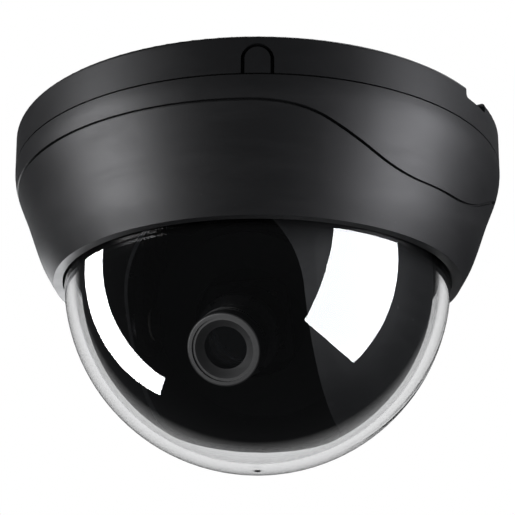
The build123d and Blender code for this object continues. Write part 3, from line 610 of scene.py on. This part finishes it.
def build_floor(stage):
    """Plain pale floor, far below the camera body."""
    mesh = bpy.data.meshes.new("StudioFloor")
    corners = [(x * FLOOR_HALF, y * FLOOR_HALF, -stage.floor_drop)
               for x, y in ((-1, -1), (1, -1), (1, 1), (-1, 1))]
    mesh.from_pydata(corners, [], [(0, 1, 2, 3)])
    floor = bpy.data.objects.new("StudioFloor", mesh)
    bpy.context.collection.objects.link(floor)
    made = Finish("FloorPaint", Roughness=0.8)
    tone = made.group(cloud_group, Patch_size=0.4)
    made.feed("Base Color", made.tree.mix(tone["Tone"], (0.80, 0.80, 0.79), (0.86, 0.86, 0.85)))
    mesh.materials.append(made.material)
    floor.visible_glossy = False
    floor.visible_diffuse = False
    floor.visible_transmission = False


def build_room(stage):
    """White surroundings for the eye and through clear parts, and a dim room in reflections."""
    world = bpy.data.worlds.new("Room")
    bpy.context.scene.world = world
    world.use_nodes = True
    world.node_tree.nodes.clear()
    tree = Tree(world.node_tree)
    out = tree.add("ShaderNodeOutputWorld")
    path = tree.add("ShaderNodeLightPath")
    split = tree.add("ShaderNodeSeparateXYZ")
    tree.link(tree.add("ShaderNodeTexCoord").outputs["Generated"], split.inputs[0])
    behind = tree.spread(split.outputs["Y"], 0.62, 0.80, 0.0, 1.0)
    straight = tree.math("LESS_THAN", path.outputs["Diffuse Depth"], 0.5)
    through = tree.math("MULTIPLY", path.outputs["Is Transmission Ray"], straight)
    through = tree.math("MULTIPLY", through, behind)
    unmirrored = tree.math("LESS_THAN", path.outputs["Glossy Depth"], 0.5)
    in_wall = tree.math("LESS_THAN", path.outputs["Transmission Depth"], 3.5)
    through = tree.math("MULTIPLY", through, tree.math("MAXIMUM", unmirrored, in_wall))
    seen = tree.math("MAXIMUM", path.outputs["Is Camera Ray"], through)
    white = tree.add("ShaderNodeBackground", {"Color": (*WHITE, 1.0), "Strength": 1.0})
    dim = tree.add("ShaderNodeBackground", {"Color": (0.92, 0.95, 1.0, 1.0), "Strength": stage.ambient})
    both = tree.add("ShaderNodeMixShader")
    tree.link(seen, both.inputs[0])
    tree.link(dim.outputs[0], both.inputs[1])
    tree.link(white.outputs[0], both.inputs[2])
    tree.link(both.outputs[0], out.inputs[0])


def lit_only(lamp, pieces):
    """Let a lamp light only some pieces."""
    group = bpy.data.collections.new(lamp.name + "_receivers")
    for piece in pieces:
        group.objects.link(piece)
    lamp.light_linking.receiver_collection = group


def show_in_first_mirror(lamp):
    """Let a lamp be mirrored by the outer face of the bubble and by nothing behind it."""
    lamp.data.use_nodes = True
    tree = Tree(lamp.data.node_tree)
    shine = next(n for n in lamp.data.node_tree.nodes if n.type == "EMISSION")
    path = tree.add("ShaderNodeLightPath")
    once = tree.math("LESS_THAN", path.outputs["Glossy Depth"], 1.5)
    outside = tree.math("LESS_THAN", path.outputs["Transmission Depth"], 0.5)
    tree.link(tree.math("MULTIPLY", once, outside), shine.inputs["Strength"])


def softbox(name, centre, across, upward, size, power, color):
    """Rectangular softbox lying along two directions, shining away from their cross product."""
    light = bpy.data.lights.new(name, "AREA")
    light.shape = "RECTANGLE"
    light.size, light.size_y = size
    light.energy = power
    light.color = color
    lamp = bpy.data.objects.new(name, light)
    side = Vector(across).normalized()
    back = side.cross(Vector(upward)).normalized()
    turn = Matrix((side, back.cross(side), back)).transposed()
    lamp.matrix_world = Matrix.Translation(centre) @ turn.to_4x4()
    lamp.visible_camera = False
    bpy.context.collection.objects.link(lamp)
    return lamp


def around(azimuth, height, reach):
    """Point at an azimuth from the front, at a height, at a distance from the axis."""
    turn = math.radians(azimuth)
    return (reach * math.sin(turn), -reach * math.cos(turn), height)


def side_light(name, azimuth, height, reach, size, power, color):
    """Broad softbox beside the camera, square on to its middle."""
    centre = Vector(around(azimuth, height, reach))
    across = Vector((math.cos(math.radians(azimuth)), math.sin(math.radians(azimuth)), 0.0))
    back = (centre - Vector(HOUSING_MIDDLE)).normalized()
    return softbox(name, centre, across, back.cross(across), size, power, color)


def build_softboxes(stage):
    """Softboxes mirrored in the bubble, broad ones for the housing, and small lights for the inside."""
    nodes = frame["nodes"]
    window = softbox("RightSoftbox", WINDOW_PLACE, WINDOW_ACROSS, WINDOW_UPWARD, WINDOW_SIZE,
                     stage.window_power, (0.95, 0.97, 1.0))
    strip = softbox("LeftSoftbox", STRIP_PLACE, STRIP_ACROSS, STRIP_UPWARD, STRIP_SIZE,
                    stage.strip_power, COOL_WHITE)
    for lamp in (window, strip):
        lit_only(lamp, [nodes["dome_bubble"]])
        lamp.visible_transmission = False
        lamp.visible_diffuse = False
        show_in_first_mirror(lamp)
    glow = softbox("ShroudLight", WINDOW_PLACE, WINDOW_ACROSS, WINDOW_UPWARD, WINDOW_SIZE,
                   stage.shroud_power, (0.93, 0.95, 1.0))
    lit_only(glow, [nodes["lens_shroud"]])
    housing = [nodes[name] for name in ("cover_shell", "base_plate", "cable_knockout")]
    for name, azimuth, height, reach, size, power, color in (
            ("OverLight", 150.0, 0.70, 0.50, (0.60, 0.60), stage.over_power, SKY_WHITE),
            ("BackLight", -160.0, -0.20, 0.80, (0.50, 0.60), stage.over_power, SKY_WHITE),
            ("LeftSideLight", -70.0, -0.10, 0.80, (0.36, 0.80), stage.side_power, COOL_WHITE),
            ("RightSideLight", 71.0, -0.10, 0.80, (0.42, 0.80), stage.side_power, (0.95, 0.95, 1.0))):
        lit_only(side_light(name, azimuth, height, reach, size, power, color), housing)
    wash = softbox("FloorWash", (0.0, 0.0, FLOOR_LIGHT_HEIGHT), (1.0, 0.0, 0.0), (0.0, 1.0, 0.0),
                   (FLOOR_HALF, FLOOR_HALF), stage.floor_power, WHITE)
    lit_only(wash, [bpy.data.objects["StudioFloor"]])
    fill = side_light("InnerFill", -50.0, -0.22, 0.60, (0.30, 0.30), stage.fill_power, WHITE)
    lens = ("lens_barrel", "lens_front_ring", "lens_front_glass", "lens_rear_glass")
    lit_only(fill, [nodes[name] for name in lens])


def build_camera(stage):
    """Camera below the ceiling, looking up at the dome."""
    data = bpy.data.cameras.new("ViewCamera")
    data.lens = stage.camera_lens
    data.sensor_width = 36.0
    data.clip_start = 0.01
    camera = bpy.data.objects.new("ViewCamera", data)
    camera.location = (0.0, -stage.camera_distance, -stage.camera_drop)
    camera.rotation_euler = (math.radians(90.0) + stage.camera_pitch, 0.0, 0.0)
    bpy.context.collection.objects.link(camera)
    bpy.context.scene.camera = camera
    bpy.context.scene.view_settings.view_transform = "Standard"


class DOME_PT_panel(bpy.types.Panel):
    """Dome camera tools in the sidebar"""

    bl_idname = "DOME_PT_panel"
    bl_label = "Dome camera"
    bl_space_type = "VIEW_3D"
    bl_region_type = "UI"
    bl_category = "Dome camera"

    def draw(self, context):
        for operator in OPERATORS:
            self.layout.operator(operator.bl_idname)
        for group in (context.scene.dome_finish, context.scene.dome_stage):
            for key in group.bl_rna.properties.keys():
                if key not in ("rna_type", "name"):
                    self.layout.prop(group, key)


OPERATORS = (
    DOME_OT_housing, DOME_OT_bubble, DOME_OT_seat, DOME_OT_pan_bearing,
    DOME_OT_bracket, DOME_OT_shroud, DOME_OT_carrier, DOME_OT_boards,
    DOME_OT_components, DOME_OT_lens, DOME_OT_stage)
CLASSES = (DomeFinish, DomeStage, *OPERATORS, DOME_PT_panel)


def register():
    """Register the classes and their settings."""
    for item in CLASSES:
        bpy.utils.register_class(item)
    bpy.types.Scene.dome_finish = bpy.props.PointerProperty(type=DomeFinish)
    bpy.types.Scene.dome_stage = bpy.props.PointerProperty(type=DomeStage)


def unregister():
    """Take the classes and settings away again."""
    del bpy.types.Scene.dome_finish
    del bpy.types.Scene.dome_stage
    for item in reversed(CLASSES):
        bpy.utils.unregister_class(item)


def main():
    """Register the tools and run every tool in order."""
    register()
    for operator in OPERATORS:
        family, name = operator.bl_idname.split(".")
        getattr(getattr(bpy.ops, family), name)()


if __name__ == "__main__":
    main()
